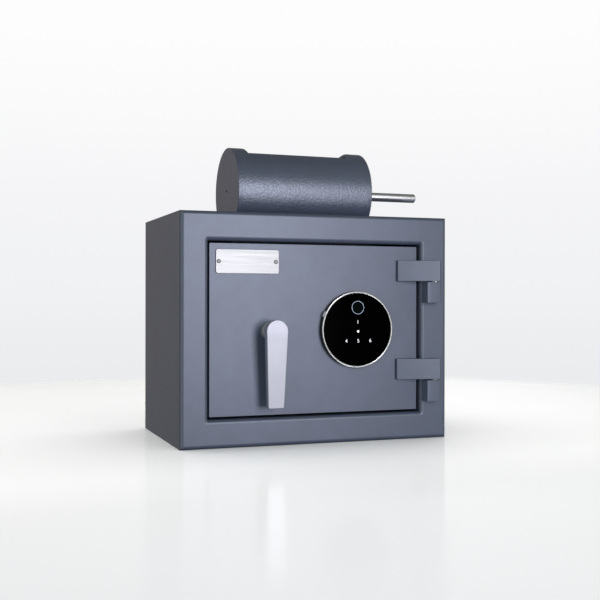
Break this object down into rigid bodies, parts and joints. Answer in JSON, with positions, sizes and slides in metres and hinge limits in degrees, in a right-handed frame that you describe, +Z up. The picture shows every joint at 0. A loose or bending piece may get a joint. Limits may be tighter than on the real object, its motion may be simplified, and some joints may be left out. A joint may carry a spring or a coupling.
{
  "type": "drop safe",
  "caption": "Small steel drop safe with a rotary deposit hopper on its top, a recessed hinged door, lever handle, touch keypad and bolts thrown by the lever.",
  "frame": {"origin": "centre of the bottom face of the safe's body", "axes": "+Z up; -Y out of the front face with the door, lever and keypad; +X towards the hinge side, where the hopper's rod comes out"},
  "size_m": [0.325, 0.215, 0.3432],
  "materials": {
    "body_paint": "blue-grey powder coat, fine texture",
    "inner_paint": "matt grey paint",
    "satin_silver": "satin silver",
    "polished_steel": "polished steel",
    "zinc_plate": "bright zinc plate",
    "black_glass": "black glass",
    "plate_aluminium": "matt aluminium",
    "black_plastic": "matt black",
    "bush_brass": "turned"
  },
  "bodies": {
    "safe_body": {"casing": "body_paint", "back_plate": "body_paint", "hinge_knuckle_upper": "body_paint", "hinge_knuckle_lower": "body_paint", "hinge_pin_upper": "polished_steel", "hinge_pin_lower": "polished_steel", "hinge_washer_upper": "polished_steel", "hinge_washer_lower": "polished_steel", "hopper_housing": "body_paint", "hopper_end_left": "body_paint", "hopper_end_right": "body_paint", "rod_bush": "bush_brass", "drop_chute": "inner_paint", "baffle_plate": "inner_paint"},
    "door": {"door_plate": "body_paint", "hinge_strap_upper": "body_paint", "hinge_strap_lower": "body_paint", "nameplate": "plate_aluminium", "plate_rivet_left": "plate_aluminium", "plate_rivet_right": "plate_aluminium", "keypad_case": "black_plastic", "keypad_bezel": "satin_silver", "keypad_glass": "black_glass", "fingerprint_window": "black_glass", "power_port_cap": "satin_silver", "lever_rose": "satin_silver", "bolt_guide_upper": "zinc_plate", "bolt_guide_lower": "zinc_plate", "carriage_guide_upper": "zinc_plate", "carriage_guide_lower": "zinc_plate", "lock_body": "black_plastic", "keypad_cable": "black_plastic", "dead_bar": "zinc_plate", "inner_cover": "inner_paint", "cover_stud_1": "zinc_plate", "cover_stud_2": "zinc_plate", "cover_stud_3": "zinc_plate", "cover_stud_4": "zinc_plate", "cover_nut_1": "zinc_plate", "cover_nut_2": "zinc_plate", "cover_nut_3": "zinc_plate", "cover_nut_4": "zinc_plate", "battery_box": "black_plastic", "battery_lid": "black_plastic"},
    "lever": {"lever_handle": "satin_silver", "lever_spindle": "zinc_plate", "lever_crank": "zinc_plate"},
    "bolt_carriage_body": {"bolt_carriage": "zinc_plate", "locking_bolt_upper": "polished_steel", "locking_bolt_lower": "polished_steel", "bolt_nut_upper": "zinc_plate", "bolt_nut_lower": "zinc_plate"},
    "latch": {"lock_latch": "polished_steel"},
    "drum": {"drum_shell": "zinc_plate", "drum_end_left": "zinc_plate", "drum_end_right": "zinc_plate", "drum_rod": "polished_steel"}
  },
  "joints": [
    {"name": "door_hinge", "type": "hinge", "parent": "safe_body", "child": "door", "pos_m": [0.1422, -0.1043, 0.13], "axis": [0, 0, 1], "range_deg": [0, 100]},
    {"name": "lever_turn", "type": "hinge", "parent": "door", "child": "lever", "pos_m": [-0.0568, -0.0975, 0.1284], "axis": [0, 1, 0], "range_deg": [0, 90]},
    {"name": "bolt_slide", "type": "slide", "parent": "door", "child": "bolt_carriage_body", "axis": [-1, 0, 0], "range_m": [0, 0.018]},
    {"name": "latch_slide", "type": "slide", "parent": "door", "child": "latch", "axis": [0, 0, 1], "range_m": [0, 0.007]},
    {"name": "drum_turn", "type": "hinge", "parent": "safe_body", "child": "drum", "pos_m": [0, -0.0055, 0.2919], "axis": [1, 0, 0], "range_deg": [0, 180]}
  ],
  "couplings": [
    {"joint": "bolt_slide", "follows": "lever_turn", "m_per_rad": 0.011459}
  ]
}
